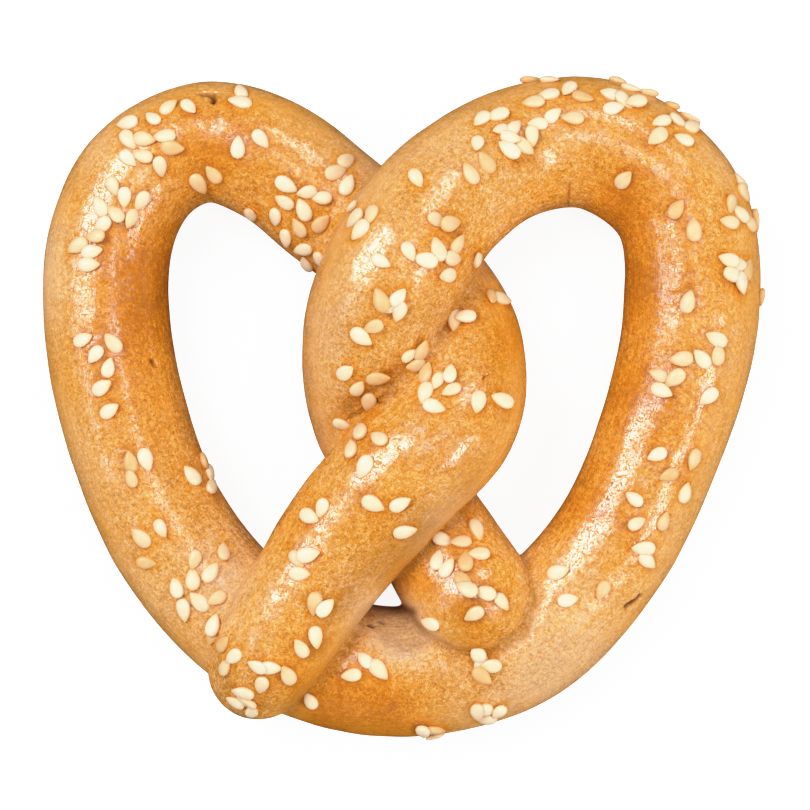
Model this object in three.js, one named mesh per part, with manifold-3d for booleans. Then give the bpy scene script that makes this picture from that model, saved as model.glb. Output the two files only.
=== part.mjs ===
// A soft pretzel: one rope of dough, twisted twice and folded back on to its own bow,
// with sesame seeds baked into the crust. Dough and seeds are one solid.
// Millimetres, +Z up. The pretzel lies flat, and the origin is under its middle, where it rests.

import * as THREE from "three";
import { mergeVertices } from "three/addons/utils/BufferGeometryUtils.js";
import Module from "manifold-3d";

const wasm = await Module();
wasm.setup();

// Driving dimensions of the rope
const HEIGHT_SHARE = 0.86; // half the rope's height over half its width
const ROPE_SIDES = 16;
const RING_SPACING = 3.6;
const TIP_RINGS = 4;
const TIP_REACH = 0.95; // length of a rounded tip over half the rope's width there

// Driving dimensions of a sesame seed
const SEED_LENGTH = 3.0;
const SEED_WIDTH = 1.85;
const SEED_THICKNESS = 1.0;
const SEED_SIDES = 6;
const SEED_BELLY = 0.2; // how far the widest place is towards the blunt end, over half the length
const SEED_LIFT = 0.14; // height of a seed's middle above the crust
const SEED_SIZE_SPREAD = 0.22;
const SEED_JITTER = 0.35;
const FIRST_DRAW = 1209;

// The rope's route, as stations of [x, y, height of the middle, half width].
// The left arm runs from its tip over the bow, over the right arm and down under it.
const LEFT_ARM = [
  [-19.6, -35.8, 10.4, 6.7], [-17.3, -32.3, 13.2, 7.5], [-12.9, -25.2, 13.8, 7.9], [-7.0, -16.6, 13.6, 8.7],
  [0.0, -8.7, 15.0, 8.8], [6.8, -1.9, 14.2, 8.6], [8.4, 6.2, 10.4, 8.4], [5.1, 14.3, 6.6, 8.4],
];
const LEFT_LOOP = [
  [-1.9, 21.3, 6.0, 8.3], [-9.7, 27.4, 6.2, 8.6], [-17.3, 33.3, 6.4, 8.5], [-26.3, 36.0, 6.4, 8.2],
  [-34.5, 32.2, 6.4, 8.3], [-39.3, 23.4, 6.4, 8.5], [-40.0, 11.8, 6.4, 8.6],
];
const BOW = [
  [-37.5, -1.7, 6.4, 8.6], [-31.9, -15.9, 6.4, 8.7], [-22.2, -28.0, 6.3, 8.8], [-9.8, -34.6, 6.2, 8.9],
  [3.9, -35.6, 6.3, 8.9], [17.4, -30.8, 6.4, 8.9], [28.1, -19.2, 6.4, 8.7], [35.1, -4.6, 6.4, 8.7],
];
const RIGHT_LOOP = [
  [39.3, 11.8, 6.5, 9.2], [37.8, 27.1, 6.5, 9.0], [27.4, 35.4, 6.5, 8.9], [15.9, 34.5, 7.8, 8.8],
];
const RIGHT_ARM = [
  [6.1, 28.0, 12.4, 9.1], [-0.3, 19.1, 15.0, 9.4], [-4.1, 9.5, 13.0, 9.1], [-3.5, -0.6, 7.6, 8.8],
  [0.8, -10.6, 6.0, 7.6], [5.5, -19.3, 7.6, 8.3], [9.4, -25.5, 10.6, 8.5],
];
const ROUTE = [...LEFT_ARM, ...LEFT_LOOP, ...BOW, ...RIGHT_LOOP, ...RIGHT_ARM];
const LEFT_LOOP_TOP = LEFT_ARM.length + 3;
const RIGHT_LOOP_TOP = LEFT_ARM.length + LEFT_LOOP.length + BOW.length + 2;
const LAST_STATION = ROUTE.length - 1;

// Pinches of sesame that fell on the dough, as [x, y, seeds, spread].
const PINCHES = [
  [-21.8, 41.1, 2, 1.2], [-29.9, 40.5, 2, 2.1], [-33.8, 34.8, 9, 4.2], [-21.0, 35.3, 2, 2.4],
  [-25.6, 30.3, 2, 2.0], [-37.9, 26.7, 7, 3.5], [-41.8, 20.6, 4, 2.4],
  [-7.9, 30.9, 3, 2.2], [-14.0, 26.2, 9, 4.2], [-5.3, 25.0, 4, 2.3], [-12.1, 19.9, 3, 1.9],
  [-40.0, 8.0, 4, 2.9], [-38.7, 1.6, 2, 2.6], [-35.5, -8.0, 3, 2.3], [-26.6, -9.4, 4, 2.4],
  [-33.8, -18.1, 3, 3.3], [-26.8, -23.6, 7, 4.0], [-25.1, -29.6, 2, 1.2],
  [-5.3, -4.2, 5, 3.7], [-1.4, -13.1, 3, 3.6], [-11.5, -13.6, 2, 1.4], [-13.1, -20.3, 3, 1.7],
  [-10.7, -25.4, 2, 1.0], [-12.6, -30.4, 2, 1.9], [-22.6, -32.4, 3, 2.2], [-17.0, -35.0, 4, 2.6],
  [-20.8, -39.1, 4, 1.7], [-5.1, -34.5, 3, 2.7], [11.0, -34.0, 4, 1.6], [11.7, -40.9, 4, 1.7],
  [3.9, -43.5, 3, 1.6], [7.8, -19.5, 8, 3.7], [10.9, -25.7, 4, 3.4],
  [5.3, 24.3, 2, 1.3], [-1.5, 19.9, 2, 2.6], [5.8, 19.4, 5, 2.9], [-1.3, 13.7, 4, 1.8], [-4.0, 9.6, 2, 1.7],
  [7.4, 11.8, 2, 1.3], [12.5, 14.8, 2, 1.0], [1.5, 6.5, 3, 1.3], [-5.1, 3.4, 4, 2.9], [4.6, 2.6, 6, 2.9],
  [12.1, 0.3, 2, 2.6], [11.9, 37.9, 3, 2.2], [15.1, 35.3, 5, 2.4], [10.3, 32.6, 3, 2.4],
  [20.3, 40.5, 8, 4.4], [29.7, 41.7, 7, 3.1], [36.1, 37.7, 6, 3.5], [37.6, 24.0, 2, 2.6],
  [45.5, 29.3, 2, 1.4], [44.9, 25.2, 4, 2.1], [44.7, 18.3, 5, 2.2], [38.0, 14.0, 1, 0.0],
  [41.5, 7.8, 3, 2.2], [36.1, 4.8, 3, 2.5], [38.5, 0.6, 2, 4.6], [36.4, -7.6, 4, 4.2],
  [32.6, -14.6, 3, 3.3], [32.6, -19.2, 2, 1.3], [23.5, -24.3, 3, 4.0],
  [-20.2, 26.1, 1, 0.0], [2.0, 29.7, 1, 0.0], [29.6, 30.3, 1, 0.0], [9.9, 19.5, 1, 0.0],
  [-23.7, -19.2, 1, 0.0], [-12.1, -39.0, 1, 0.0], [3.9, -28.5, 1, 0.0],
];

const UP = new THREE.Vector3(0, 0, 1);
const DOWN = new THREE.Vector3(0, 0, -1);
const ABOVE_ALL = 100;
const centreline = new THREE.CatmullRomCurve3(
  ROUTE.map(([x, y, z]) => new THREE.Vector3(x, y, z)), false, "catmullrom");
const girth = new THREE.CatmullRomCurve3(
  ROUTE.map(([, , , halfWidth]) => new THREE.Vector3(halfWidth, 0, 0)), false, "catmullrom");

// A closed three.js geometry as a solid that can be joined to others.
function solidFrom(geometry) {
  geometry.deleteAttribute("normal");
  geometry.deleteAttribute("uv");
  const merged = mergeVertices(geometry);
  return new wasm.Manifold(new wasm.Mesh({
    numProp: 3,
    vertProperties: merged.attributes.position.array,
    triVerts: new Uint32Array(merged.index.array),
  }));
}

function geometryFrom(solid) {
  const { vertProperties, triVerts } = solid.getMesh();
  const geometry = new THREE.BufferGeometry();
  geometry.setAttribute("position", new THREE.BufferAttribute(vertProperties, 3));
  geometry.setIndex(new THREE.BufferAttribute(triVerts, 1));
  geometry.computeVertexNormals();
  return geometry;
}

// The rings of a stretch of rope between two stations. Share is a ring's size over the rope's own,
// and reach is how far it stands past its place on the route.
function ropeRings(first, last) {
  const rings = [];
  for (let station = first; station < last; station++) {
    const [from, to] = [centreline.points[station], centreline.points[station + 1]];
    const steps = Math.round(from.distanceTo(to) / RING_SPACING);
    for (let step = 0; step < steps; step++) {
      rings.push({ place: (station + step / steps) / LAST_STATION, share: 1, reach: 0 });
    }
  }
  rings.push({ place: last / LAST_STATION, share: 1, reach: 0 });
  return rings;
}

// The rings that close one end: shrinking ones round a tip of the rope, or the middle of a flat cut.
function endRings(station) {
  const place = station / LAST_STATION;
  const outwards = { 0: -1, [LAST_STATION]: 1 }[station];
  if (!outwards) return [{ place, share: 0, reach: 0 }];
  const tipLength = TIP_REACH * girth.getPoint(place).x;
  return Array.from({ length: TIP_RINGS }, (_, ring) => {
    const angle = (ring / TIP_RINGS) * (Math.PI / 2);
    return { place, share: Math.sin(angle), reach: outwards * tipLength * Math.cos(angle) };
  });
}

// A straight rope is turned on the lathe, bent along the route, and pressed flat where it rests.
function ropeStretch(first, last) {
  const rings = [...endRings(first), ...ropeRings(first, last), ...endRings(last).reverse()];
  const straight = new THREE.LatheGeometry(
    rings.map(({ share }, index) => new THREE.Vector2(share, index)), ROPE_SIDES);
  const position = straight.attributes.position;
  for (let i = 0; i < position.count; i++) {
    const { place, reach } = rings[Math.round(position.getY(i))];
    const along = centreline.getTangent(place);
    const right = new THREE.Vector3().crossVectors(along, UP).normalize();
    const over = new THREE.Vector3().crossVectors(right, along);
    const halfWidth = girth.getPoint(place).x;
    const point = centreline.getPoint(place)
      .addScaledVector(along, reach)
      .addScaledVector(right, position.getX(i) * halfWidth)
      .addScaledVector(over, position.getZ(i) * halfWidth * HEIGHT_SHARE);
    position.setXYZ(i, point.x, point.y, Math.max(point.z, 0));
  }
  return solidFrom(straight);
}

// One seed at true size, its long axis on Y and its flat side facing Z, pointed at one end.
function sesameSeed() {
  const [radius, half] = [SEED_WIDTH / 2, SEED_LENGTH / 2];
  const profile = [
    new THREE.Vector2(0, -half),
    new THREE.Vector2(radius, -SEED_BELLY * half),
    new THREE.Vector2(0, half),
  ];
  return new THREE.LatheGeometry(profile, SEED_SIDES).scale(1, 1, SEED_THICKNESS / SEED_WIDTH);
}

// Where the seeds of one pinch fall, spread like the florets of a sunflower with some disorder.
function scatter([x, y, seeds, spread], draw) {
  const turn = 2 * Math.PI * draw();
  const goldenAngle = Math.PI * (3 - Math.sqrt(5));
  return Array.from({ length: seeds }, (_, seed) => {
    const reach = spread * Math.sqrt((seed + 0.5) / seeds) * (1 + SEED_JITTER * (draw() - 0.5));
    const angle = turn + seed * goldenAngle;
    return {
      x: x + reach * Math.cos(angle),
      y: y + reach * Math.sin(angle),
      heading: 2 * Math.PI * draw(),
      size: 1 + SEED_SIZE_SPREAD * (draw() - 0.5),
    };
  });
}

// A seed where a line straight down first meets the dough, lying flat on the crust, or nothing over a gap.
function seedOn(dough, { x, y, heading, size }) {
  const [hit] = new THREE.Raycaster(new THREE.Vector3(x, y, ABOVE_ALL), DOWN).intersectObject(dough);
  if (!hit) return null;
  const facing = hit.face.normal;
  const lying = new THREE.Quaternion().setFromUnitVectors(UP, facing);
  const turned = new THREE.Quaternion().setFromAxisAngle(UP, heading);
  const place = hit.point.clone().addScaledVector(facing, SEED_LIFT);
  const scale = new THREE.Vector3(size, size, size);
  const matrix = new THREE.Matrix4().compose(place, lying.multiply(turned), scale);
  return solidFrom(sesameSeed().applyMatrix4(matrix));
}

const bareDough = ropeStretch(0, LEFT_LOOP_TOP)
  .add(ropeStretch(LEFT_LOOP_TOP, RIGHT_LOOP_TOP))
  .add(ropeStretch(RIGHT_LOOP_TOP, LAST_STATION));
const doughMesh = new THREE.Mesh(geometryFrom(bareDough));

THREE.MathUtils.seededRandom(FIRST_DRAW);
const seeds = PINCHES
  .flatMap((pinch) => scatter(pinch, () => THREE.MathUtils.seededRandom()))
  .map((seed) => seedOn(doughMesh, seed))
  .filter(Boolean);

const crust = new THREE.MeshStandardMaterial({ color: 0xd2904a, roughness: 0.45, metalness: 0 });
const seededDough = seeds.reduce((whole, seed) => whole.add(seed), bareDough);
const pretzel = new THREE.Mesh(geometryFrom(seededDough), crust);
pretzel.name = "pretzel";

const part = new THREE.Group();
part.add(pretzel);
export default part;
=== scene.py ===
# %% [markdown]
# # A soft pretzel
# A soft pretzel is one rope of dough. Its two ends cross twice, and they are pressed on to the bow, the
# long curve at the front. In the oven the rope swells, fuses where it touches itself and browns, and the
# sesame seeds bake into its glossy skin.
#
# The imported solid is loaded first, because it fixes the size and place of everything that follows.

# %% Load the frame
import math

import bmesh
import bpy
import numpy as np
from mathutils import Matrix, Vector, noise
from mathutils.bvhtree import BVHTree


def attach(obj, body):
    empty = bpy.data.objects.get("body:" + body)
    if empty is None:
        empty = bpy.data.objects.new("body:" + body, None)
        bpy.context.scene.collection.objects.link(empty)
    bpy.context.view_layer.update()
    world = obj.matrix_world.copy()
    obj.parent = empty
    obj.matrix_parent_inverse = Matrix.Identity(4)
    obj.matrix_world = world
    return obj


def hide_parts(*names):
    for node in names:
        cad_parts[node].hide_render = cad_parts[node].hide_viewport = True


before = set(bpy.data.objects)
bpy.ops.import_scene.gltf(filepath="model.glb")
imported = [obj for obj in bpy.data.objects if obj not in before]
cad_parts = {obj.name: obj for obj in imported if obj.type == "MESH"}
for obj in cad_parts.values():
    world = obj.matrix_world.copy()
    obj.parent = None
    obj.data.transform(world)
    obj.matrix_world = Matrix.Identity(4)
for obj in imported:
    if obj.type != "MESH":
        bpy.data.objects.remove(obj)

MM = 0.001
UP = Vector((0, 0, 1))
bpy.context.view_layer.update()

# %% [markdown]
# The picture was taken from straight above, from close by. A camera that has not been turned looks down
# already, with +Y at the top of the picture, so only its height and lens are set. The lens follows from
# how many pixels a millimetre takes half way up the dough. Like a phone's camera, this one holds bright
# tones back: values up to about 0.8 pass unchanged, and those above rise more and more slowly to white.

# %% Camera
PICTURE_SIDE = 810
CAMERA_HEIGHT = 330 * MM
MIDDLE_OF_DOUGH = 8 * MM
PIXELS_PER_MM = 7.4
PICTURE_CENTRE = Vector((0.5, 0.3, 0)) * MM

camera = bpy.data.objects.new("camera", bpy.data.cameras.new("camera"))
camera.location = PICTURE_CENTRE + UP * CAMERA_HEIGHT
seen_width = PICTURE_SIDE / PIXELS_PER_MM * MM
camera.data.lens = camera.data.sensor_width * (CAMERA_HEIGHT - MIDDLE_OF_DOUGH) / seen_width
bpy.context.scene.collection.objects.link(camera)
bpy.context.scene.camera = camera

BRIGHTEST = 2.0
# how bright a tone is, and how bright it is shown
TONE_STEPS = [
    (0.0, 0.0), (0.2, 0.2), (0.4, 0.4), (0.6, 0.6), (0.8, 0.79), (1.0, 0.91), (1.4, 0.97), (BRIGHTEST, 1.0),
]
COMBINED_CURVE = 3

view = bpy.context.scene.view_settings
view.view_transform = "Standard"
view.use_curve_mapping = True
view.curve_mapping.white_level = [BRIGHTEST] * 3
tone_curve = view.curve_mapping.curves[COMBINED_CURVE].points
while len(tone_curve) < len(TONE_STEPS):
    tone_curve.new(0.5, 0.5)
for point, (bright, shown) in zip(tone_curve, TONE_STEPS):
    point.location = bright / BRIGHTEST, shown
view.curve_mapping.update()
print("lens, mm:", round(camera.data.lens, 1))

# %% [markdown]
# The rope's route is the same as the solid's: stations with a place, the height of the rope's middle and
# half its width. Each arm starts or ends at a tip on the bow. A curve object could carry the rope, but
# its width and its flat underside are easier to steer station by station.

# %% The rope's route
# x, y, height of the middle and half width, in millimetres
LEFT_ARM = [
    (-19.6, -35.8, 10.4, 6.7), (-17.3, -32.3, 13.2, 7.5), (-12.9, -25.2, 13.8, 7.9),
    (-7.0, -16.6, 13.6, 8.7), (0.0, -8.7, 15.0, 8.8), (6.8, -1.9, 14.2, 8.6), (8.4, 6.2, 10.4, 8.4),
    (5.1, 14.3, 6.6, 8.4),
]
LEFT_LOOP = [
    (-1.9, 21.3, 6.0, 8.3), (-9.7, 27.4, 6.2, 8.6), (-17.3, 33.3, 6.4, 8.5), (-26.3, 36.0, 6.4, 8.2),
    (-34.5, 32.2, 6.4, 8.3), (-39.3, 23.4, 6.4, 8.5), (-40.0, 11.8, 6.4, 8.6),
]
BOW = [
    (-37.5, -1.7, 6.4, 8.6), (-31.9, -15.9, 6.4, 8.7), (-22.2, -28.0, 6.3, 8.8), (-9.8, -34.6, 6.2, 8.9),
    (3.9, -35.6, 6.3, 8.9), (17.4, -30.8, 6.4, 8.9), (28.1, -19.2, 6.4, 8.7), (35.1, -4.6, 6.4, 8.7),
]
RIGHT_LOOP = [
    (39.3, 11.8, 6.5, 9.2), (37.8, 27.1, 6.5, 9.0), (27.4, 35.4, 6.5, 8.9), (15.9, 34.5, 7.8, 8.8),
]
RIGHT_ARM = [
    (6.1, 28.0, 12.4, 9.1), (-0.3, 19.1, 15.0, 9.4), (-4.1, 9.5, 13.0, 9.1), (-3.5, -0.6, 7.6, 8.8),
    (0.8, -10.6, 6.0, 7.6), (5.5, -19.3, 7.6, 8.3), (9.4, -25.5, 10.6, 8.5),
]
ROUTE = [Vector(station) * MM for station in LEFT_ARM + LEFT_LOOP + BOW + RIGHT_LOOP + RIGHT_ARM]
LAST = len(ROUTE) - 1


def rope_at(place):
    """Middle, half width and direction of the rope at a place counted in stations."""
    first = min(int(place), LAST - 1)
    t = place - first
    here, there = ROUTE[first], ROUTE[first + 1]
    before = ROUTE[first - 1] if first > 0 else 2 * here - there
    after = ROUTE[first + 2] if first + 2 <= LAST else 2 * there - here
    leaving, arriving = (there - before) / 2, (after - here) / 2
    spot = here * (2 * t**3 - 3 * t**2 + 1) + leaving * (t**3 - 2 * t**2 + t)
    spot += there * (3 * t**2 - 2 * t**3) + arriving * (t**3 - t**2)
    slope = (here - there) * (6 * t**2 - 6 * t) + leaving * (3 * t**2 - 4 * t + 1)
    slope += arriving * (3 * t**2 - 2 * t)
    return spot.xyz, spot.w, slope.xyz.normalized()


rope_length = sum((b.xyz - a.xyz).length for a, b in zip(ROUTE, ROUTE[1:]))
print("stations:", len(ROUTE), "rope, mm:", round(rope_length / MM))

# %% [markdown]
# The straight rope starts as a sphere with an odd number of bands, so that one band of faces lies across
# its middle. Cutting that band into many rings gives a rope with two round tips. Each vertex is then laid
# along the route: the rings follow the stations, the two caps stand past the first and the last one, and
# what would sink below the tray is pressed flat.

# %% Roll the rope and lay it
ROPE_SIDES = 48
TIP_BANDS = 15
RINGS_PER_STATION = 12
HEIGHT_SHARE = 0.86
TIP_REACH = 0.95

rope = bmesh.new()
bmesh.ops.create_uvsphere(rope, u_segments=ROPE_SIDES, v_segments=TIP_BANDS, radius=1)
across_middle = [edge for edge in rope.edges if edge.verts[0].co.z * edge.verts[1].co.z < 0]
bmesh.ops.subdivide_edges(rope, edges=across_middle, cuts=RINGS_PER_STATION * LAST - 1)

half_band = math.pi / (2 * TIP_BANDS)
band_height, band_radius = math.sin(half_band), math.cos(half_band)
for vert in rope.verts:
    side, rise, run = vert.co
    share = min(max(run / band_height, -1), 1)
    middle, half_width, along = rope_at(LAST * (share + 1) / 2)
    past_tip = max(abs(run) - band_height, 0) / (1 - band_height)
    left = UP.cross(along).normalized()
    over = along.cross(left)
    vert.co = middle + along * math.copysign(past_tip * TIP_REACH * half_width, run)
    vert.co += (left * side + over * rise * HEIGHT_SHARE) * half_width / band_radius
    vert.co.z = max(vert.co.z, 0)
print("rope faces:", len(rope.faces))

# %% [markdown]
# So far the rope passes through itself at the crossings and at both tips. Real dough fuses there, so the
# rope is rebuilt as one skin of small squares by a voxel Remesh. This can leave a bubble inside, where
# strands nearly touch. No edge leads to a bubble from the top of the skin, so it is found and removed.

# %% Fuse the dough
VOXEL = 0.52 * MM


def new_piece(name, mesh_bm):
    """An object at the origin that holds a bmesh."""
    mesh = bpy.data.meshes.new(name)
    mesh_bm.to_mesh(mesh)
    mesh_bm.free()
    piece = bpy.data.objects.new(name, mesh)
    bpy.context.scene.collection.objects.link(piece)
    return piece


dough = new_piece("dough", rope)
fuse = dough.modifiers.new("fuse", "REMESH")
fuse.mode = "VOXEL"
fuse.voxel_size = VOXEL
fused = bpy.data.meshes.new_from_object(dough.evaluated_get(bpy.context.evaluated_depsgraph_get()))
dough.modifiers.clear()
dough.data = fused
skin = bmesh.new()
skin.from_mesh(fused)

outside = {max(skin.verts, key=lambda vert: vert.co.z)}
newest = list(outside)
while newest:
    around = {edge.other_vert(vert) for vert in newest for edge in vert.link_edges}
    newest = list(around - outside)
    outside |= around
bubbles = [vert for vert in skin.verts if vert not in outside]
bmesh.ops.delete(skin, geom=bubbles, context="VERTS")
bmesh.ops.recalc_face_normals(skin, faces=skin.faces)
print("skin faces:", len(skin.faces), "bubble points removed:", len(bubbles))

# %% [markdown]
# The skin has split or wrinkled in a few places, and a few more lines follow creases where strands meet.
# Each place is a line with a width, a depth and a darkness, which is painted shade inside the slit or along
# the crease. It is narrower than the squares of the skin, so the squares beside the lines are cut smaller
# first. Cutting them only there keeps the mesh light.

# %% Finer squares beside the splits
# x and y of both ends, half width and depth in millimetres, and how dark the painted shade inside is
SPLITS_AND_CREASES = [
    (-26.8, 42.0, -24.9, 41.9, 0.30, 0.5, 0.7), (-25.1, 41.8, -25.0, 41.1, 0.46, 0.9, 1.0),
    (30.2, -26.8, 32.0, -25.4, 0.30, 0.8, 0.9), (10.7, 3.6, 11.0, 4.1, 0.16, 0.3, 0.8),
    (11.0, 4.1, 11.5, 4.3, 0.12, 0.2, 0.7), (0.2, -13.4, 1.6, -12.7, 0.16, 0.2, 0.5),
    (-33.4, 6.2, -33.1, 5.8, 0.30, 0.6, 0.8), (-4.5, -29.0, -3.6, -29.2, 0.20, 0.4, 0.8),
    (-3.0, -28.6, -2.3, -28.8, 0.16, 0.3, 0.6), (22.5, 29.6, 22.4, 27.0, 0.22, 0.3, 0.25),
    (23.5, 31.0, 23.6, 27.5, 0.40, -0.1, 0.0), (-26.7, 29.2, -26.0, 27.8, 0.40, 0.3, 0.1),
    (5.6, 9.9, 6.7, 10.9, 0.35, 0.4, 0.25), (-7.0, -1.7, -3.2, 0.6, 0.24, 0.4, 0.5),
    (-3.2, 0.6, -0.6, 2.2, 0.24, 0.4, 0.4),
]
SPLIT_MARGIN = 4
NEAR_ENOUGH = 0.3
UPPER_SIDE = 4 * MM
CUTS = 2


def nearness_to_line(points, x0, y0, x1, y1, half_width):
    """1 on a line between two places, falling to 0 beside it and past its ends."""
    start, end = np.array((x0, y0)) * MM, np.array((x1, y1)) * MM
    reach = (points - start) @ (end - start) / np.sum((end - start) ** 2)
    nearest = start + np.clip(reach, 0, 1)[:, None] * (end - start)
    away = np.linalg.norm(points - nearest, axis=1)
    return np.exp(-((away / (half_width * MM)) ** 2))


skin_points = np.array([vert.co for vert in skin.verts])
beside_split = np.zeros(len(skin_points), bool)
for *ends, half_width, _, _ in SPLITS_AND_CREASES:
    margin = half_width * SPLIT_MARGIN
    beside_split |= nearness_to_line(skin_points[:, :2], *ends, margin) > NEAR_ENOUGH
beside_split &= skin_points[:, 2] > UPPER_SIDE
near_edges = [edge for edge in skin.edges if all(beside_split[vert.index] for vert in edge.verts)]
bmesh.ops.subdivide_edges(skin, edges=near_edges, cuts=CUTS, use_grid_fill=True)
skin.verts.index_update()
print("skin faces with the finer ones:", len(skin.faces))

# %% [markdown]
# To work on the folds, every point of the skin needs to know how near the next strand is. The route is
# sampled finely, each point takes the stretch that it is deepest in as its own, and the gap is the
# distance to the surface of any stretch that is far away along the rope.

# %% Find the folds
SAMPLES = 420
SHARES = 24
FAR_ALONG = 30 * MM
SUNK_SHARE = 0.95
NO_STRAND = 1
FOLD_REACH = 2.4 * MM

samples = [rope_at(LAST * index / (SAMPLES - 1)) for index in range(SAMPLES)]
sample_middles = np.array([middle for middle, _, _ in samples])
sample_halves = np.array([half_width for _, half_width, _ in samples])
sample_runs = np.concatenate([[0], np.cumsum(np.linalg.norm(np.diff(sample_middles, axis=0), axis=1))])


def study_strands(points):
    """For each point, the sample of its own strand and the distance to the next strand."""
    own = np.empty(len(points), int)
    gaps = np.empty(len(points))
    for part in np.array_split(np.arange(len(points)), SHARES):
        distances = np.linalg.norm(points[part, None] - sample_middles, axis=2)
        own[part] = (distances / sample_halves).argmin(axis=1)
        is_far = np.abs(sample_runs - sample_runs[own[part]][:, None]) > FAR_ALONG
        gaps[part] = np.where(is_far, distances - sample_halves * SUNK_SHARE, NO_STRAND).min(axis=1)
    return own, gaps


skin_points = np.array([vert.co for vert in skin.verts])
own, gaps = study_strands(skin_points)
in_fold = np.exp(-((np.maximum(gaps, 0) / FOLD_REACH) ** 2))
print("points in folds:", int((in_fold > 0.5).sum()))

# %% [markdown]
# The rebuilt skin still shows the steps of its squares, so all of it is smoothed a little, and the folds a
# little more. At two crossings the strands have baked together softly, and many more rounds there leave a
# shallow dip instead of a crease. The operator takes the chosen points directly, where a Smooth modifier
# would need a vertex group for each place.

# %% Smooth the skin and its folds
SKIN_ROUNDS = 4
FOLD_ROUNDS = 2
DEEP_IN_FOLD = 0.4
# places where the dough has fused softly: x, y and radius in millimetres, and extra rounds of smoothing
SOFT_FOLDS = [(-10.0, 24.0, 9.0, 30), (12.0, 13.0, 7.0, 18)]
ALL_AXES = {"use_axis_x": True, "use_axis_y": True, "use_axis_z": True}


def smooth(verts, rounds):
    """Move each vertex half way to the middle of its neighbours, round after round."""
    for _ in range(rounds):
        bmesh.ops.smooth_vert(skin, verts=verts, factor=0.5, **ALL_AXES)


smooth(skin.verts, SKIN_ROUNDS)
skin.verts.ensure_lookup_table()
fold_verts = [skin.verts[index] for index in np.flatnonzero(in_fold > DEEP_IN_FOLD)]
smooth(fold_verts, FOLD_ROUNDS)
for x, y, radius, rounds in SOFT_FOLDS:
    centre = Vector((x, y)) * MM
    smooth([vert for vert in fold_verts if (vert.co.xy - centre).length < radius * MM], rounds)
print("verts smoothed in folds:", len(fold_verts))

# %% [markdown]
# Hand-rolled dough is never even. Slow noise makes the rope a little thicker here and thinner there, and a
# quicker one gives the shallow dimples that break up the shine. The splits are pressed in along their
# lines, which wander a little. Where one strand lies on another, a dip along the line sharpens the crease.
# Both kinds of line darken the crust later with painted shade: inside the splits, in the creases, and as
# painted shadow where one strand shades another. A dip of no depth is only painted shade.

# %% Lumps, wrinkles and splits
SLOW_LUMPS = (13 * MM, 0.20 * MM)
QUICK_LUMPS = (4.5 * MM, 0.08 * MM)
SPLIT_WANDER = (0.9 * MM, 0.22 * MM)
LUMPS_DOWN = 1.4
FACING_UP = 0.05
# where strands lie on each other or shade each other: x and y of both ends, half width and depth in
# millimetres, and how dark the painted shade is
DIPS_AND_SHADE = [
    (-7.1, -0.7, -0.6, 4.1, 1.5, 1.0, 0.33), (5.4, 9.4, 7.4, 11.4, 1.2, 0.5, 0.18),
    (2.8, 8.6, 5.4, 12.0, 2.0, 0.2, 0.18), (0.9, -27.8, 3.2, -30.4, 0.9, 0.5, 0.35),
    (3.2, -30.4, 7.1, -32.6, 0.9, 0.6, 0.35),
    (7.1, -32.6, 12.2, -32.8, 1.1, 0.6, 0.35), (12.2, -32.8, 16.2, -29.8, 1.2, 0.6, 0.34),
    (16.2, -29.8, 17.9, -24.8, 1.1, 0.5, 0.30), (17.9, -24.8, 16.6, -20.6, 0.9, 0.4, 0.24),
    (-4.6, -27.0, -7.6, -32.4, 1.2, 0.5, 0.32), (-7.6, -32.4, -10.4, -35.8, 1.1, 0.5, 0.32),
    (-10.4, -35.8, -13.6, -39.2, 1.0, 0.5, 0.30), (-13.6, -39.2, -15.2, -40.9, 0.9, 0.4, 0.28),
    (-3.4, -26.6, 1.4, -27.2, 0.9, 0.0, 0.85), (-1.5, -23.9, 5.7, -16.4, 0.6, 0.3, 0.45),
    (5.7, -16.4, 10.2, -11.6, 0.6, 0.3, 0.35), (-2.9, -22.0, 4.0, -14.8, 2.0, 0.0, 0.38),
    (4.0, -14.8, 8.6, -10.0, 2.0, 0.0, 0.24), (10.6, 18.2, 7.2, 12.2, 1.6, 0.4, 0.28),
    (-3.4, 31.8, -6.2, 28.0, 0.9, 0.2, 0.18), (-13.6, 19.6, -12.2, 17.2, 1.6, 0.0, 0.28),
    (-8.6, -26.2, 3.0, -13.6, 2.2, 0.0, 0.38), (-8.6, -26.2, -11.0, -31.0, 1.6, 0.0, 0.30),
]


def lumps(point):
    """How far the skin stands out at a point."""
    total = 0
    for size, depth in (SLOW_LUMPS, QUICK_LUMPS):
        total += depth * noise.noise(point / size)
    return total


skin.normal_update()
facing = np.array([vert.normal for vert in skin.verts])
skin_points = np.array([vert.co for vert in skin.verts])
out = np.array([lumps(vert.co) for vert in skin.verts]) * np.clip(1 + facing[:, 2] * LUMPS_DOWN, 0, 1)
upward = facing[:, 2] > FACING_UP
size, reach = SPLIT_WANDER
wander = np.array([noise.noise_vector(vert.co / size).xy for vert in skin.verts]) * reach
wandering = skin_points[:, :2] + wander
# painted shade: the darkness inside splits, along creases and over a few stretches, which the material
# mixes in as dark brown
painted_shade = np.zeros(len(skin_points))
for *line, depth, darkness in SPLITS_AND_CREASES:
    near = nearness_to_line(wandering, *line) * upward
    out -= near * depth * MM
    painted_shade = np.maximum(painted_shade, near * darkness)
dip = np.zeros(len(skin_points))
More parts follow.
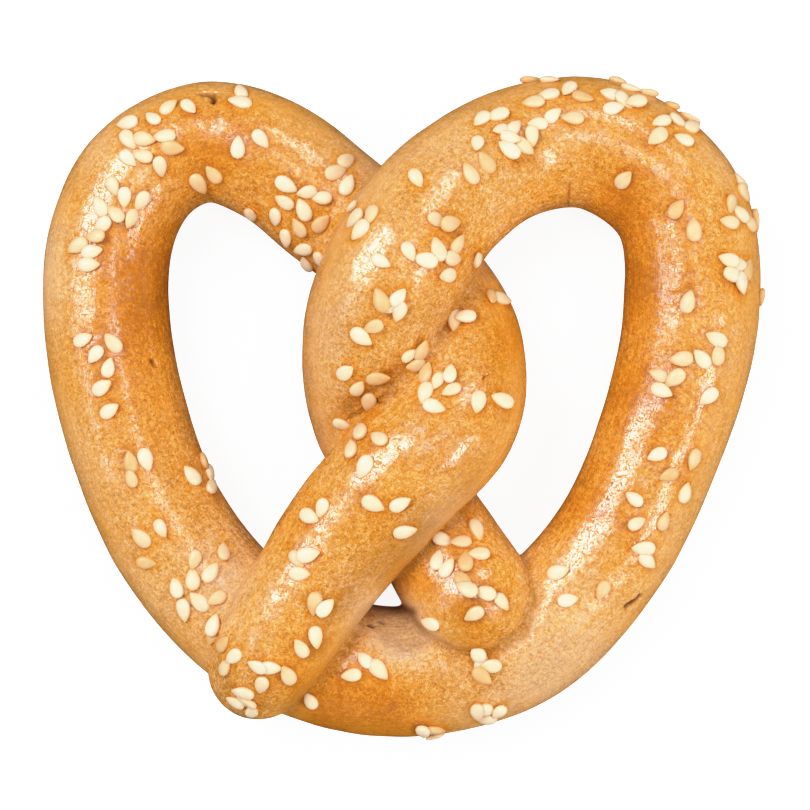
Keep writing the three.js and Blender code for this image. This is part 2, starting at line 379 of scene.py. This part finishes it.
# the darkness of each dip is painted shade in the crease, or painted shadow where one strand shades another
for *line, depth, darkness in DIPS_AND_SHADE:
    near = nearness_to_line(skin_points[:, :2], *line) * upward
    dip = np.maximum(dip, near * np.clip(facing[:, 2], 0, 1) * depth * MM)
    painted_shade = np.maximum(painted_shade, near * darkness)
out -= dip
skin_points += facing * out[:, None]
skin_points[:, 2] = np.maximum(skin_points[:, 2], 0)
for vert, point in zip(skin.verts, skin_points):
    vert.co = point
print("relief, mm:", round(out.min() / MM, 2), "to", round(out.max() / MM, 2))

# %% [markdown]
# How brown the crust gets depends on where the heat reached it: the flanks beside the holes and the front
# of the bow are deepest, and the folds and the tray side stay pale. The deep brown on the flanks beside the
# holes also stands in for the shade there, so it is partly painted shade. Patches steer the browning, and
# noise breaks them up; a few of the patches are painted shade or painted shadow. A few stretches get
# painted shade, and its darkness is kept with that of the splits. All of it is stored on the skin's
# points, as attributes that the material reads.

# %% Browning
EVEN_BROWN = 0.58
PATCH_NOISE = (9 * MM, 0.16)
OTHER_LUMPS = UP * 7
# x, y and spread in millimetres, and how much browner (or paler, if negative) the crust is
# a few patches paint shade rather than browning: the browner one at (-11, -40) is painted shadow on the bow
# beside end A, and the one at (-0.5, -29.8) takes the top of the bow below the small hole to the darkest,
# greyest tone as painted shade
BROWNING_AND_SHADE_PATCHES = [
    (-33.6, 18.5, 7, 0.40), (-34.5, 8.0, 7, 0.35), (-25.2, 34.5, 6, 0.30), (-13.0, 34.0, 6, -0.05),
    (31.5, 18.5, 6, 0.36), (29.5, 27.5, 5, 0.30), (25.5, -12.5, 6, 0.26), (30.0, 0.0, 6, 0.25),
    (-3.0, -39.5, 9, 0.38), (15.0, 10.0, 5, 0.30), (1.0, -24.0, 4, 0.25), (-46.5, 18.0, 6, -0.25),
    (21.0, -33.0, 8, -0.30), (10.0, -37.0, 6, -0.22), (-0.5, -29.8, 4.5, -1.0), (-25.8, -23.8, 6, -0.40),
    (6.6, 32.7, 6, -0.20), (-9.0, 11.0, 5, -0.20), (9.3, -27.0, 6, 0.15), (-11.0, -40.0, 5, 0.25),
    (-5.0, -14.0, 6, 0.08), (7.0, -5.0, 7, 0.10), (34.0, 16.0, 6, 0.12), (25.3, 35.6, 6, 0.13),
    (31.5, 7.0, 6, 0.16), (9.5, -30.5, 3, 0.20),
]
FOLD_PALE = 0.05
TRAY_PALE = 0.15
TRAY_REACH = 5 * MM
# x, y and spread in millimetres of stretches with painted shade, and how dark it is
PAINTED_SHADE_PATCHES = [
    (9.2, -36.3, 7, 0.12), (1.0, -29.8, 4, 0.12), (9.2, -27.2, 5, 0.12), (-9.0, 10.9, 5, 0.08),
    (31.8, 16.5, 5, 0.11), (7.1, -5.0, 6, 0.08), (-31.5, 14.0, 4, 0.10),
]


def nearness_to_patch(x, y, spread):
    """1 in the middle of a patch, falling to 0 around it."""
    away = np.linalg.norm(skin_points[:, :2] - np.array((x, y)) * MM, axis=1)
    return np.exp(-((away / (spread * MM)) ** 2))


brown_and_shade = np.full(len(skin_points), EVEN_BROWN)
for *patch, amount in BROWNING_AND_SHADE_PATCHES:
    brown_and_shade += amount * nearness_to_patch(*patch)
size, amount = PATCH_NOISE
brown_and_shade += amount * np.array([noise.noise(Vector(point) / size + OTHER_LUMPS) for point in skin_points])
brown_and_shade -= FOLD_PALE * in_fold
brown_and_shade -= TRAY_PALE * np.clip(1 - skin_points[:, 2] / TRAY_REACH, 0, 1)
brown_and_shade = np.clip(brown_and_shade, 0, 1)
# painted shade over a few stretches, kept with the darkness of the splits
for *patch, darkness in PAINTED_SHADE_PATCHES:
    painted_shade = np.maximum(painted_shade, darkness * nearness_to_patch(*patch))

layers = {name: skin.verts.layers.float.new(name) for name in ("brown_and_shade", "painted_shade", "fold")}
for name, values in (("brown_and_shade", brown_and_shade), ("painted_shade", painted_shade), ("fold", in_fold)):
    for vert, value in zip(skin.verts, values):
        vert[layers[name]] = value
print("brown from", round(brown_and_shade.min(), 2), "to", round(brown_and_shade.max(), 2))

# %% [markdown]
# Rolling the dough between the hands leaves faint marks that run along the rope. A pattern that follows
# the rope needs to know how far along and how far around it a point lies. Both are worked out from the
# samples of the route and stored on the skin, with how much the point faces sideways. The way around is
# counted from the top, its seam lies underneath, and the outer side of the loops has negative values.

# %% Along and around the rope
sample_alongs = np.array([along for _, _, along in samples])
sample_lefts = np.array([UP.cross(along).normalized() for _, _, along in samples])
sample_overs = np.cross(sample_alongs, sample_lefts)

from_middle = skin_points - sample_middles[own]
run_along = sample_runs[own] + np.sum(from_middle * sample_alongs[own], axis=1)
to_left = np.sum(from_middle * sample_lefts[own], axis=1)
to_top = np.sum(from_middle * sample_overs[own], axis=1)
run_around = np.arctan2(to_left, to_top) * sample_halves[own]

rope_layer = skin.verts.layers.float_vector.new("rope")
flank = np.abs(to_left) / np.hypot(to_left, to_top)
for vert, values in zip(skin.verts, zip(run_along, run_around, flank)):
    vert[rope_layer] = values
for face in skin.faces:
    face.smooth = True
skin.to_mesh(dough.data)
dough_tree = BVHTree.FromBMesh(skin)
skin.free()
print("rope, mm:", round(run_along.max() / MM), "around, mm:", round(np.ptp(run_around) / MM))

# %% [markdown]
# The crust's colour is built from patterns of several sizes: a mottle of a few millimetres, the marks of
# rolling, which run along the rope, pale fibres and dark cracks of a fraction of a millimetre, and a fine
# grain. Each is a noise that reads object coordinates or the skin's own rope attribute, so it stays on the
# dough. Lines come from a noise too: they lie where it crosses its middle value. A painted picture could
# hold all this, but the skin would have to be unwrapped for it first.

# %% Patterns of the crust
# a scale counts features in a metre, and a width is a share of the noise's range
MOTTLE_SCALE = 450
ROLLED_SCALE = 140
ROLLED_NARROWING = 9
SCRATCH_SCALE = 150
SCRATCH_NARROWING = 12
SCRATCH_WIDTH = 0.1
FIBRE_SCALE = 1900
FIBRE_WIDTH = 0.10
DASH_SCALE = 1400
DASH_RANGE = (0.36, 0.56)
CRACK_SCALE = 1700
CRACK_WIDTH = 0.085
GRAIN_SCALE = 2600
FLANK_RANGE = (0.45, 0.8)
OUTER_RANGE = (-4 * MM, -10 * MM)
OTHER_NOISE = (0.5, 0.5, 0.5)


def feed(tree, socket, value):
    """Link a socket to an output, or set its value."""
    if isinstance(value, bpy.types.NodeSocket):
        tree.links.new(value, socket)
    else:
        socket.default_value = value


def node(tree, kind, inputs=None, **settings):
    """A new node with its settings and the values or links of its inputs."""
    made = tree.nodes.new(kind)
    for name, value in settings.items():
        setattr(made, name, value)
    for name, value in (inputs or {}).items():
        feed(tree, made.inputs[name], value)
    return made


def new_material(name):
    """A node material, its node tree and its shader."""
    material = bpy.data.materials.new(name)
    material.use_nodes = True
    return material, material.node_tree, material.node_tree.nodes["Principled BSDF"]


def attribute(tree, name, output="Fac"):
    """A value that is stored on the piece's points."""
    return node(tree, "ShaderNodeAttribute", attribute_name=name).outputs[output]


def math_node(tree, operation, *values):
    """The result of a sum on values and outputs."""
    made = node(tree, "ShaderNodeMath", operation=operation)
    for socket, value in zip(made.inputs, values):
        feed(tree, socket, value)
    return made.outputs[0]


def remap(tree, value, from_min, from_max, to_min=0, to_max=1):
    """A value moved from one range to another, and held inside it."""
    ranges = {"From Min": from_min, "From Max": from_max, "To Min": to_min, "To Max": to_max}
    return node(tree, "ShaderNodeMapRange", {"Value": value, **ranges}).outputs["Result"]


def noise_node(tree, vector, scale, **inputs):
    """A noise texture."""
    return node(tree, "ShaderNodeTexNoise", {"Vector": vector, "Scale": scale, **inputs}).outputs["Fac"]


def thin_lines(tree, pattern, width):
    """1 along the lines where a noise crosses its middle value, 0 beside them."""
    off_line = math_node(tree, "ABSOLUTE", math_node(tree, "SUBTRACT", pattern, 0.5))
    return remap(tree, off_line, 0, width, 1, 0)


crust, tree, shader = new_material("crust")
place = node(tree, "ShaderNodeTexCoord").outputs["Object"]
apart = node(tree, "ShaderNodeVectorMath", {0: place, 1: OTHER_NOISE}, operation="ADD").outputs[0]
rope_in = attribute(tree, "rope", "Vector")
rope_parts = node(tree, "ShaderNodeSeparateXYZ", {"Vector": rope_in}).outputs


def along_rope(tree, narrowing):
    """A vector in which patterns come out long along the rope and narrow around it."""
    parts = {0: rope_in, 1: (1, narrowing, 0)}
    return node(tree, "ShaderNodeVectorMath", parts, operation="MULTIPLY").outputs[0]


mottle = noise_node(tree, place, MOTTLE_SCALE, Detail=5)
rolled = noise_node(tree, along_rope(tree, ROLLED_NARROWING), ROLLED_SCALE, Detail=2)
outer_side = remap(tree, rope_parts["Y"], *OUTER_RANGE)
on_flank = remap(tree, rope_parts["Z"], *FLANK_RANGE)
scratches = noise_node(tree, along_rope(tree, SCRATCH_NARROWING), SCRATCH_SCALE, Detail=1)
scratches = math_node(tree, "MULTIPLY", thin_lines(tree, scratches, SCRATCH_WIDTH), on_flank)
fibres = thin_lines(tree, noise_node(tree, place, FIBRE_SCALE, Detail=1, Distortion=0.8), FIBRE_WIDTH)
dashes = remap(tree, noise_node(tree, place, DASH_SCALE, Detail=0), *DASH_RANGE)
strokes = math_node(tree, "MULTIPLY", fibres, dashes)
cracks = thin_lines(tree, noise_node(tree, apart, CRACK_SCALE, Detail=1, Distortion=1.2), CRACK_WIDTH)
grain = noise_node(tree, place, GRAIN_SCALE, Detail=1)
print("pattern nodes:", len(tree.nodes))

# %% [markdown]
# The patterns push the browning up and down before a ramp turns it into a colour. A mix of two colours
# would miss the tones that crust has between pale and deep brown. Then the grain and the lines lighten or
# darken that colour. Deep brown skin and the outer side of the loops are smoother, so the patterns count
# for less there. Last, a dark brown is mixed in as painted shade: inside the splits, along the creases and
# over a few stretches.

# %% Colour of the crust
MOTTLE_SHARE = 0.36
ROLLED_SHARE = 0.35
FIBRE_SHARE = 0.32
CRACK_SHARE = 0.2
GRAIN_SHARE = 0.88
STROKE_LIGHT = 0.22
SCRATCH_LIGHT = 0.25
CRACK_SHADE = 0.25
DEEP_BROWN = (0.6, 0.95)
BROWN_CALM = 0.6
OUTER_CALM = 0.65
OUTER_PALE = 0.27


def srgb(red, green, blue):
    """A colour as it looks on screen, 0 to 255, turned into the linear values a shader uses."""
    parts = [part / 255 for part in (red, green, blue)]
    return [part / 12.92 if part <= 0.04045 else ((part + 0.055) / 1.055) ** 2.4 for part in parts] + [1]


# the lowest stop is darker and greyer than the pale crust beside it; the patch below the small hole pushes
# the crust down to it as painted shade
CRUST_TONES = [
    (0.0, srgb(186, 142, 96)), (0.2, srgb(226, 176, 124)), (0.42, srgb(221, 161, 92)),
    (0.62, srgb(217, 148, 61)), (0.82, srgb(211, 132, 34)), (1.0, srgb(190, 110, 22)),
]
# the dark brown of the painted shade inside splits, along creases and over a few stretches
PAINTED_SHADE_DARK = srgb(92, 46, 16)


def ramp(tree, factor, stops):
    """A colour ramp through (position, colour) stops."""
    made = node(tree, "ShaderNodeValToRGB", {"Fac": factor})
    elements = made.color_ramp.elements
    while len(elements) < len(stops):
        elements.new(1)
    for element, (position, colour) in zip(elements, stops):
        element.position = position
        element.color = colour
    return made.outputs["Color"]


def mix(tree, factor, first, second, blend_type="MIX"):
    """A mix of two colours. The node has sockets for other kinds of data too, so they go by number."""
    made = node(tree, "ShaderNodeMix", data_type="RGBA", blend_type=blend_type)
    for index, value in ((0, factor), (6, first), (7, second)):
        feed(tree, made.inputs[index], value)
    return made.outputs[2]


def weigh(tree, parts):
    """The sum of patterns, each less its middle value and times its share."""
    total = 0
    for pattern, middle, share in parts:
        total = math_node(tree, "MULTIPLY_ADD", math_node(tree, "SUBTRACT", pattern, middle), share, total)
    return total


brown_and_shade_in = attribute(tree, "brown_and_shade")
painted_shade_in = attribute(tree, "painted_shade")
calm = remap(tree, brown_and_shade_in, *DEEP_BROWN, 1, BROWN_CALM)
calm = math_node(tree, "MULTIPLY", calm, math_node(tree, "MULTIPLY_ADD", outer_side, -OUTER_CALM, 1))
tone = weigh(tree, [
    (mottle, 0.5, MOTTLE_SHARE), (rolled, 0.5, ROLLED_SHARE), (strokes, 0.2, -FIBRE_SHARE),
    (cracks, 0.2, CRACK_SHARE), (outer_side, 0, -OUTER_PALE),
])
tone = math_node(tree, "MULTIPLY_ADD", tone, calm, brown_and_shade_in)
specks = weigh(tree, [
    (grain, 0.5, GRAIN_SHARE), (strokes, 0, STROKE_LIGHT), (scratches, 0, SCRATCH_LIGHT),
    (cracks, 0, -CRACK_SHADE),
])
specks = math_node(tree, "MULTIPLY_ADD", specks, calm, 1)
colour = mix(tree, 1, ramp(tree, tone, CRUST_TONES), specks, "MULTIPLY")
# painted shade: dark brown mixed in inside splits, along creases and over a few stretches
colour = mix(tree, painted_shade_in, colour, PAINTED_SHADE_DARK)
print("pattern and colour nodes:", len(tree.nodes))

# %% [markdown]
# The shine sits on top as a coat of its own, so that the crust below can stay matt, which one glossy layer
# could not do. Shallow waves and the marks of rolling make the edge of a highlight wander. The coat is
# uneven: it is worn in patches, folds, splits and the darker painted shade have none, and fine cracks cut
# through it and draw the dark lines inside each highlight.

# %% Gloss of the crust
WAVE_SCALE = 350
WAVE_DEPTH = 0.20 * MM
ROLLED_DEPTH = 0.03 * MM
CRACKLE_SCALE = 1350
CRACKLE_WIDTH = 0.075
CRACKLE_DEPTH = 0.004 * MM
CRACKED = 0.7
WORN_SCALE = 160
WORN_RANGE = (0.36, 0.5)
WORN_GLOSS = 0.45
PAINTED_SHADE_RANGE = (0.1, 0.3)
SMOOTHEST = 0.4
ROUGHER = 0.2

height = math_node(tree, "MULTIPLY", noise_node(tree, place, WAVE_SCALE, Detail=2), WAVE_DEPTH)
height = math_node(tree, "MULTIPLY_ADD", rolled, ROLLED_DEPTH, height)
crackle = noise_node(tree, apart, CRACKLE_SCALE, Detail=1, Distortion=1.2)
crackle = thin_lines(tree, crackle, CRACKLE_WIDTH)
height = math_node(tree, "MULTIPLY_ADD", crackle, -CRACKLE_DEPTH, height)
bump = node(tree, "ShaderNodeBump", {"Height": height, "Strength": 1, "Distance": 1}).outputs["Normal"]

coat = math_node(tree, "SUBTRACT", 1, attribute(tree, "fold"))
worn = remap(tree, noise_node(tree, apart, WORN_SCALE, Detail=1), *WORN_RANGE, WORN_GLOSS)
unshaded = remap(tree, painted_shade_in, *PAINTED_SHADE_RANGE, 1, 0)
uncracked = remap(tree, crackle, 0, CRACKED, 1, 0)
for share in (worn, unshaded, uncracked):
    coat = math_node(tree, "MULTIPLY", coat, share)
crust_inputs = {
    "Base Color": colour, "Roughness": math_node(tree, "MULTIPLY_ADD", mottle, ROUGHER, SMOOTHEST),
    "Normal": bump, "Specular IOR Level": 0.08,
    "Coat Weight": coat, "Coat Normal": bump, "Coat IOR": 2.1, "Coat Roughness": 0.22,
}
for name, value in crust_inputs.items():
    feed(tree, shader.inputs[name], value)
dough.data.materials.append(crust)
print("crust nodes:", len(tree.nodes))

# %% [markdown]
# A sesame seed is a flat teardrop about 3 mm long. One is shaped from a small sphere: its poles become the
# blunt and the pointed end, its sides taper towards the point, and it is pressed flat. It has few faces,
# because more than two hundred copies follow.

# %% One sesame seed
SEED_LENGTH = 3.1 * MM
SEED_WIDTH = 1.95 * MM
SEED_THICKNESS = 0.95 * MM
SEED_TAPER = 0.26
TIP_PINCH = 0.28
FLAT_SIDES = 0.75
SEED_SIDES = 12
SEED_BANDS = 8

seed_bm = bmesh.new()
bmesh.ops.create_uvsphere(seed_bm, u_segments=SEED_SIDES, v_segments=SEED_BANDS, radius=1)
for vert in seed_bm.verts:
    across, thick, along = vert.co
    taper = 1 - SEED_TAPER * along - TIP_PINCH * max(along, 0) ** 2
    flat = math.copysign(abs(thick) ** FLAT_SIDES, thick)
    vert.co = Vector((across * taper * SEED_WIDTH, along * SEED_LENGTH, -flat * taper * SEED_THICKNESS)) / 2
bmesh.ops.recalc_face_normals(seed_bm, faces=seed_bm.faces)
for face in seed_bm.faces:
    face.smooth = True
seed_shape = bpy.data.meshes.new("seed_shape")
seed_bm.to_mesh(seed_shape)
seed_bm.free()
print("faces of a seed:", len(seed_shape.polygons))

# %% [markdown]
# Sesame falls in pinches, so each pinch has a place, a number of seeds and a spread, and its seeds are laid
# out like the florets of a sunflower with some disorder. The draws are the same as the solid's, so that a
# seed lies where the solid has one, which a particle system could not promise. Only the last five, single
# seeds at the rim, are not in the solid.

# %% Where the seeds fall
# x, y, number of seeds and spread in millimetres
PINCHES = [
    (-21.8, 41.1, 2, 1.2), (-29.9, 40.5, 2, 2.1), (-33.8, 34.8, 9, 4.2), (-21.0, 35.3, 2, 2.4),
    (-25.6, 30.3, 2, 2.0), (-37.9, 26.7, 7, 3.5), (-41.8, 20.6, 4, 2.4),
    (-7.9, 30.9, 3, 2.2), (-14.0, 26.2, 9, 4.2), (-5.3, 25.0, 4, 2.3), (-12.1, 19.9, 3, 1.9),
    (-40.0, 8.0, 4, 2.9), (-38.7, 1.6, 2, 2.6), (-35.5, -8.0, 3, 2.3), (-26.6, -9.4, 4, 2.4),
    (-33.8, -18.1, 3, 3.3), (-26.8, -23.6, 7, 4.0), (-25.1, -29.6, 2, 1.2),
    (-5.3, -4.2, 5, 3.7), (-1.4, -13.1, 3, 3.6), (-11.5, -13.6, 2, 1.4), (-13.1, -20.3, 3, 1.7),
    (-10.7, -25.4, 2, 1.0), (-12.6, -30.4, 2, 1.9), (-22.6, -32.4, 3, 2.2), (-17.0, -35.0, 4, 2.6),
    (-20.8, -39.1, 4, 1.7), (-5.1, -34.5, 3, 2.7), (11.0, -34.0, 4, 1.6), (11.7, -40.9, 4, 1.7),
    (3.9, -43.5, 3, 1.6), (7.8, -19.5, 8, 3.7), (10.9, -25.7, 4, 3.4),
    (5.3, 24.3, 2, 1.3), (-1.5, 19.9, 2, 2.6), (5.8, 19.4, 5, 2.9), (-1.3, 13.7, 4, 1.8),
    (-4.0, 9.6, 2, 1.7), (7.4, 11.8, 2, 1.3), (12.5, 14.8, 2, 1.0), (1.5, 6.5, 3, 1.3),
    (-5.1, 3.4, 4, 2.9), (4.6, 2.6, 6, 2.9),
    (12.1, 0.3, 2, 2.6), (11.9, 37.9, 3, 2.2), (15.1, 35.3, 5, 2.4), (10.3, 32.6, 3, 2.4),
    (20.3, 40.5, 8, 4.4), (29.7, 41.7, 7, 3.1), (36.1, 37.7, 6, 3.5), (37.6, 24.0, 2, 2.6),
    (45.5, 29.3, 2, 1.4), (44.9, 25.2, 4, 2.1), (44.7, 18.3, 5, 2.2), (38.0, 14.0, 1, 0.0),
    (41.5, 7.8, 3, 2.2), (36.1, 4.8, 3, 2.5), (38.5, 0.6, 2, 4.6), (36.4, -7.6, 4, 4.2),
    (32.6, -14.6, 3, 3.3), (32.6, -19.2, 2, 1.3), (23.5, -24.3, 3, 4.0),
    (-20.2, 26.1, 1, 0.0), (2.0, 29.7, 1, 0.0), (29.6, 30.3, 1, 0.0), (9.9, 19.5, 1, 0.0),
    (-23.7, -19.2, 1, 0.0), (-12.1, -39.0, 1, 0.0), (3.9, -28.5, 1, 0.0),
    (48.9, 14.8, 1, 0.0), (1.2, 37.2, 1, 0.0), (17.5, 44.9, 1, 0.0), (39.9, 40.4, 1, 0.0),
    (48.5, 25.4, 1, 0.0),
]
FIRST_DRAW = 1209
SEED_JITTER = 0.35
SEED_SIZE_SPREAD = 0.22
WORD = 0xFFFFFFFF


def draws(state):
    """Even draws from 0 to 1, by the small generator called Mulberry32."""
    while True:
        state = (state + 0x6D2B79F5) & WORD
        mixed = (state ^ state >> 15) * (state | 1) & WORD
        mixed ^= mixed + ((mixed ^ mixed >> 7) * (mixed | 61) & WORD) & WORD
        yield (mixed ^ mixed >> 14) / (WORD + 1)


def scatter(draw):
    """Place, heading and size of every seed."""
    golden_angle = math.pi * (3 - math.sqrt(5))
    for x, y, number, spread in PINCHES:
        turn = 2 * math.pi * next(draw)
        for index in range(number):
            reach = spread * math.sqrt((index + 0.5) / number) * (1 + SEED_JITTER * (next(draw) - 0.5))
            angle = turn + index * golden_angle
            spot = Vector((x + reach * math.cos(angle), y + reach * math.sin(angle), 0)) * MM
            yield spot, 2 * math.pi * next(draw), 1 + SEED_SIZE_SPREAD * (next(draw) - 0.5)


# the solid's generator spends its first draw when it is started
solid_draws = draws(FIRST_DRAW)
next(solid_draws)
fallen = list(scatter(solid_draws))
print("seeds:", len(fallen))

# %% [markdown]
# Each seed drops straight down on to the skin and lies nearly flat on it, partly sunk. A seed that lands on
# an earlier one is lifted over it, as in a real heap, and one that misses the dough, at the rim, is put on
# the nearest flank. All seeds are copied into one mesh, because they are one piece. How toasted a seed is
# gets drawn once and stored on its points, with how near each point is to the seed's tip or edge.

# %% Drop the seeds
ABOVE_ALL = 0.1
FLANK_HEIGHT = 8 * MM
SEED_LIFT = 0.18 * MM
STACK_REACH = 1.8 * MM
STACK_LIFT = 0.42 * MM
MOST_LIFTS = 2
SEED_TILT = math.radians(14)
RIM_SHARE = 0.75
TOAST_POWER = 2.2
LOOKS_DRAW = 2611

looks = draws(LOOKS_DRAW)
seats = []
seed_heap = bmesh.new()
toast_layer = seed_heap.verts.layers.float.new("toast")
tip_layer = seed_heap.verts.layers.float.new("tip")
landed = []
for spot, heading, size in fallen:
    hit, normal, _, _ = dough_tree.ray_cast(spot + UP * ABOVE_ALL, -UP)
    if hit is None:
        hit, normal, _, _ = dough_tree.find_nearest(spot + UP * FLANK_HEIGHT)
    under = sum((hit - other).length < STACK_REACH for other in landed)
    landed.append(hit)
    lift = SEED_LIFT + STACK_LIFT * min(under, MOST_LIFTS)
    lie = UP.rotation_difference(normal).to_matrix().to_4x4() @ Matrix.Rotation(heading, 4, "Z")
    for axis in "XY":
        lie @= Matrix.Rotation(SEED_TILT * (2 * next(looks) - 1), 4, axis)
    matrix = Matrix.Translation(hit + normal * lift) @ lie @ Matrix.Scale(size, 4)
    toast = next(looks) ** TOAST_POWER
    first = len(seed_heap.verts)
    seed_heap.from_mesh(seed_shape)
    seed_heap.verts.ensure_lookup_table()
    copy = seed_heap.verts[first:]
    for vert in copy:
        tip = max(vert.co.y / (SEED_LENGTH / 2), 0) ** 2
        rim = (1 - abs(vert.co.z) / (SEED_THICKNESS / 2)) ** 2
        vert[toast_layer] = toast
        vert[tip_layer] = max(tip, RIM_SHARE * rim)
    bmesh.ops.transform(seed_heap, matrix=matrix, verts=copy)
    seats.append(matrix.inverted())
seeds = new_piece("sesame_seeds", seed_heap)
print("seeds on the dough:", len(landed), "faces:", len(seeds.data.polygons))

# %% [markdown]
# A thin rim of skin beside each seed is browner than the rest: the seed's oil fries it, and the darker rim
# is also painted shade where the seed shades the skin. Seen from a seed's own place, a skin point's
# distance from the seed's outline says how much. The browning and painted shade that are stored on the skin
# are raised by it and written again.

# %% Brown and shade the skin beside the seeds
RIM_BROWN_AND_SHADE = 0.2
RIM_REACH = 0.45 * MM

skin_points = np.array([vert.co for vert in dough.data.vertices])
beside = np.zeros(len(skin_points))
for seat in seats:
    seat = np.array(seat)
    spots = skin_points @ seat[:3, :3].T + seat[:3, 3]
    near = np.linalg.norm(spots, axis=1) < SEED_LENGTH
    across, along = spots[near, 0] / SEED_WIDTH, spots[near, 1] / SEED_LENGTH
    past_rim = np.maximum(np.hypot(across, along) * 2 - 1, 0) * SEED_WIDTH / 2
    beside[near] = np.maximum(beside[near], np.exp(-((past_rim / RIM_REACH) ** 2)))
# the rim beside each seed is browner, partly from the seed's oil and partly as painted shade
dough.data.attributes["brown_and_shade"].data.foreach_set("value", np.clip(brown_and_shade + RIM_BROWN_AND_SHADE * beside, 0, 1))
print("points beside seeds:", int((beside > 0.5).sum()))

# %% [markdown]
# Hulled sesame is cream white, and a toasted seed is tan. Its pointed end and its rim turn first, and faint
# streaks run over it. A seed lets a little light through, so its shader scatters light below the surface.
# A plain cream colour would look like chalk.

# %% Seed material
HULLED = srgb(249, 223, 190)
TOASTED = srgb(226, 178, 118)
TIP_SHARE = 0.7
STREAK_SCALE = 900
STREAK_SHARE = 0.5
STREAK_RELIEF = {"Strength": 0.4, "Distance": 0.1 * MM}

sesame, tree, shader = new_material("sesame")
place = node(tree, "ShaderNodeTexCoord").outputs["Object"]
streaks = noise_node(tree, place, STREAK_SCALE, Detail=3)
tone = math_node(tree, "MULTIPLY_ADD", attribute(tree, "tip"), TIP_SHARE, attribute(tree, "toast"))
tone = math_node(tree, "ADD", tone, weigh(tree, [(streaks, 0.5, STREAK_SHARE)]))
seed_inputs = {
    "Base Color": ramp(tree, tone, [(0.0, HULLED), (1.0, TOASTED)]), "Roughness": 0.38,
    "Normal": node(tree, "ShaderNodeBump", {"Height": streaks, **STREAK_RELIEF}).outputs["Normal"],
    "Subsurface Weight": 0.35, "Subsurface Radius": (0.8 * MM, 0.6 * MM, 0.4 * MM), "Subsurface Scale": 1,
}
for name, value in seed_inputs.items():
    feed(tree, shader.inputs[name], value)
seeds.data.materials.append(sesame)
print("seed nodes:", len(tree.nodes))

# %% [markdown]
# The floor is plain and nearly white, and the light is soft: a pale sky all round, and large panels whose
# reflections draw the streaks of shine along the strands. The floor glows a little, so that it shows as
# white, but it throws no light on the dough, where it would wash out the flanks. The sky and the two fills
# light the dough and aren't mirrored in its gloss.

# %% Floor and light
FLOOR_SIDE = 4
FLOOR_GLOW = 0.9
SKY_ABOVE = 0.41
SKY_BELOW = 0.35
HORIZON = (-0.2, 0.3)
PANEL_DISTANCE = 0.9

floor_bm = bmesh.new()
bmesh.ops.create_grid(floor_bm, x_segments=1, y_segments=1, size=FLOOR_SIDE / 2)
floor = new_piece("floor", floor_bm)
floor.visible_diffuse = False
floor.visible_glossy = False
paper, tree, shader = new_material("paper")
paper_inputs = {
    "Base Color": (0.8, 0.8, 0.8, 1), "Roughness": 0.9,
    "Emission Color": (1, 1, 1, 1), "Emission Strength": FLOOR_GLOW,
}
for name, value in paper_inputs.items():
    feed(tree, shader.inputs[name], value)
floor.data.materials.append(paper)

world = bpy.data.worlds.new("studio")
world.use_nodes = True
tree = world.node_tree
direction = node(tree, "ShaderNodeTexCoord").outputs["Generated"]
rise = node(tree, "ShaderNodeSeparateXYZ", {"Vector": direction}).outputs["Z"]
sky = tree.nodes["Background"].inputs
feed(tree, sky["Strength"], remap(tree, rise, *HORIZON, SKY_BELOW, SKY_ABOVE))
feed(tree, sky["Color"], (1, 1, 1, 1))
bpy.context.scene.world = world
world.cycles_visibility.glossy = False


def panel(name, azimuth, tilt, width, length, glow, mirrored=True):
    """A soft panel that faces the pretzel. Tilt is from straight above, azimuth is from +X."""
    light = bpy.data.lights.new(name, "AREA")
    light.shape = "RECTANGLE"
    light.size, light.size_y = width, length
    light.energy = glow * math.pi * width * length
    lamp = bpy.data.objects.new(name, light)
    angle, lean = math.radians(azimuth), math.radians(tilt)
    away = Vector((math.cos(angle) * math.sin(lean), math.sin(angle) * math.sin(lean), math.cos(lean)))
    lamp.location = away * PANEL_DISTANCE
    lamp.rotation_mode = "QUATERNION"
    lamp.rotation_quaternion = away.to_track_quat("Z", "Y")
    lamp.visible_glossy = mirrored
    bpy.context.scene.collection.objects.link(lamp)


panel("left_panel", 143, 36, 0.46, 0.5, 7.4)
panel("right_panel", -21, 38, 0.28, 0.22, 7.5)
panel("low_panel", 176, 46, 0.55, 0.14, 4.0)
panel("back_panel", 62, 42, 0.34, 0.16, 6.5)
panel("top_panel", 40, 12, 0.24, 0.18, 4.5)
panel("right_fill", -15, 72, 0.6, 0.4, 4.5, mirrored=False)
panel("front_fill", -85, 68, 0.6, 0.4, 2.0, mirrored=False)

# %% [markdown]
# Last, the pieces are tied to the frame: both ride on the pretzel's one body, and the dough stands for its
# solid, which is hidden.

# %% Tie the pieces to the frame
for piece, slot in ((dough, "crust"), (seeds, "sesame")):
    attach(piece, "root")
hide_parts("pretzel")
